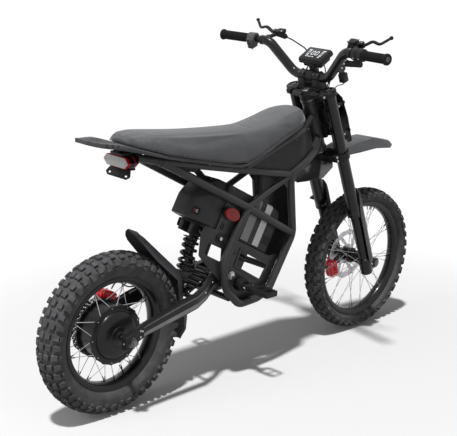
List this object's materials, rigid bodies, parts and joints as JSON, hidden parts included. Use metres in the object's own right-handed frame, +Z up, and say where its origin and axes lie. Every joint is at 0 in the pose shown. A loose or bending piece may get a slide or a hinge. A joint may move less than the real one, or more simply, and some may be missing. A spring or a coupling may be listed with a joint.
{
  "type": "electric bicycle",
  "caption": "Off-road electric bicycle with a tube frame, long seat, frame battery, hub motor, spoked wheels with block tyres, disc brakes and front and rear suspension.",
  "frame": {"origin": "on the floor, under the middle of the object's box", "axes": "+X forward, +Y to the rider's left, +Z up"},
  "size_m": [1.8015, 0.795, 1.211],
  "materials": {
    "frame_paint": "satin black",
    "fork_black": "gloss black",
    "fork_lower_black": "satin black",
    "spring_steel": "black coated coil",
    "peg_metal": "matt black",
    "battery_case": "fine grained dark grey",
    "controller_case": "dark anodised",
    "dark_plastic": "dark grey moulded",
    "panel_plastic": "fine grained black",
    "black_plastic": "semi gloss black",
    "fender_plastic": "dark grey moulded",
    "button_plastic": "grey",
    "vinyl": "pebbled charcoal vinyl",
    "tyre_rubber": "knobbly black rubber",
    "grip_rubber": "ribbed black rubber",
    "bright_metal": "brushed bright",
    "red_metal": "red anodised look",
    "lens_red": "red moulded lens"
  },
  "bodies": {
    "frame": {"frame_side_left": "frame_paint", "frame_side_right": "frame_paint", "head_tube": "frame_paint", "battery_cradle": "frame_paint", "battery_pack": "battery_case", "seat_base": "dark_plastic", "seat_cushion": "vinyl", "side_panel_left": "panel_plastic", "side_panel_right": "panel_plastic", "front_cover": "panel_plastic", "tail_bracket": "frame_paint", "tail_light": "lens_red", "side_reflector_left": "lens_red", "side_reflector_right": "lens_red", "motor_controller": "controller_case", "swingarm_pivot_bolt": "bright_metal"},
    "steering": {"steering_stem": "frame_paint", "upper_clamp": "frame_paint", "fork_tube_left": "fork_black", "fork_tube_right": "fork_black", "handlebar": "fork_black", "bar_clamp": "frame_paint", "grip_left": "grip_rubber", "brake_master_left": "black_plastic", "brake_master_right": "black_plastic", "switch_left": "dark_plastic", "switch_right": "black_plastic", "display": "dark_plastic", "horn": "dark_plastic", "front_cowl": "panel_plastic", "headlight": "black_plastic", "front_fender": "fender_plastic", "front_brake_hose": "grip_rubber"},
    "fork_lower": {"fork_slider_left": "fork_lower_black", "fork_slider_right": "fork_lower_black", "front_axle": "bright_metal", "front_caliper": "red_metal"},
    "front_wheel": {"front_tyre": "tyre_rubber", "front_rim": "fork_black", "front_hub": "frame_paint", "front_disc": "bright_metal"},
    "swing": {"swingarm": "frame_paint", "rear_axle": "bright_metal", "rear_caliper": "red_metal", "rear_fender": "fender_plastic"},
    "rear_wheel": {"rear_tyre": "tyre_rubber", "rear_rim": "fork_black", "hub_motor": "frame_paint", "rear_disc": "bright_metal"},
    "shock_upper": {"shock_body": "fork_lower_black", "shock_spring": "spring_steel"},
    "shock_lower": {"shock_rod": "fork_lower_black"},
    "brake_lever_left_body": {"brake_lever_left": "black_plastic"},
    "brake_lever_right_body": {"brake_lever_right": "black_plastic"},
    "throttle_body": {"throttle_grip": "grip_rubber"},
    "horn_button_body": {"horn_button": "button_plastic"},
    "power_switch_body": {"power_switch": "black_plastic"},
    "battery_lock_body": {"battery_lock": "bright_metal"},
    "foot_peg_left_body": {"foot_peg_left": "peg_metal"},
    "foot_peg_right_body": {"foot_peg_right": "peg_metal"}
  },
  "joints": [
    {"name": "steering_turn", "type": "hinge", "parent": "frame", "child": "steering", "pos_m": [0.55104, 0, 0.25703], "axis": [-0.3746, 0, 0.9272], "range_deg": [-35, 35]},
    {"name": "fork_slide", "type": "slide", "parent": "steering", "child": "fork_lower", "axis": [-0.3746, 0, 0.9272], "range_m": [0, 0.1], "stiffness_N_per_m": 6000, "springref_m": -0.05},
    {"name": "front_wheel_spin", "type": "hinge", "parent": "fork_lower", "child": "front_wheel", "pos_m": [0.6178, 0, 0.284], "axis": [0, 1, 0], "continuous": true},
    {"name": "swingarm_pivot", "type": "hinge", "parent": "frame", "child": "swing", "pos_m": [-0.1592, 0, 0.388], "axis": [0, 1, 0], "range_deg": [-3, 9.4], "stiffness_Nm_per_rad": 1300, "springref_deg": -5.73},
    {"name": "rear_wheel_spin", "type": "hinge", "parent": "swing", "child": "rear_wheel", "pos_m": [-0.6292, 0, 0.2726], "axis": [0, 1, 0], "continuous": true},
    {"name": "shock_swing", "type": "hinge", "parent": "frame", "child": "shock_upper", "pos_m": [-0.2722, 0, 0.5588], "axis": [0, 1, 0], "range_deg": [-2, 4]},
    {"name": "shock_slide", "type": "slide", "parent": "shock_upper", "child": "shock_lower", "axis": [0.2915, 0, 0.9566], "range_m": [-0.01, 0.03], "deforming": ["shock_spring"]},
    {"name": "foot_peg_left_fold", "type": "hinge", "parent": "frame", "child": "foot_peg_left_body", "pos_m": [-0.1212, 0.12, 0.352], "axis": [1, 0, 0], "range_deg": [0, 75]},
    {"name": "foot_peg_right_fold", "type": "hinge", "parent": "frame", "child": "foot_peg_right_body", "pos_m": [-0.1212, -0.12, 0.352], "axis": [-1, 0, 0], "range_deg": [0, 75]},
    {"name": "brake_lever_left_pull", "type": "hinge", "parent": "steering", "child": "brake_lever_left_body", "pos_m": [0.29799, 0.2101, 1.1698], "axis": [-0.3746, 0, 0.9272], "range_deg": [0, 18], "stiffness_Nm_per_rad": 1.5, "springref_deg": -11.46},
    {"name": "brake_lever_right_pull", "type": "hinge", "parent": "steering", "child": "brake_lever_right_body", "pos_m": [0.29799, -0.2101, 1.1698], "axis": [0.3746, 0, -0.9272], "range_deg": [0, 18], "stiffness_Nm_per_rad": 1.5, "springref_deg": -11.46},
    {"name": "throttle_twist", "type": "hinge", "parent": "steering", "child": "throttle_body", "pos_m": [0.20932, -0.3945, 1.14767], "axis": [-0.1568, -0.9875, 0.0133], "range_deg": [0, 70], "stiffness_Nm_per_rad": 0.3, "springref_deg": -11.46},
    {"name": "horn_button_press", "type": "slide", "parent": "steering", "child": "horn_button_body", "axis": [0.9272, 0, 0.3746], "range_m": [0, 0.002], "stiffness_N_per_m": 400, "springref_m": -0.001},
    {"name": "power_switch_rock", "type": "hinge", "parent": "frame", "child": "power_switch_body", "pos_m": [-0.30761, -0.05068, 0.63913], "axis": [0.4817, 0, 0.8763], "range_deg": [-8, 8]},
    {"name": "battery_lock_turn", "type": "hinge", "parent": "frame", "child": "battery_lock_body", "pos_m": [-0.2212, -0.0739, 0.5335], "axis": [0, 1, 0], "range_deg": [0, 90]}
  ],
  "couplings": [
    {"joint": "shock_swing", "follows": "swingarm_pivot", "ratio": 0.302},
    {"joint": "shock_slide", "follows": "swingarm_pivot", "m_per_rad": 0.1606}
  ]
}
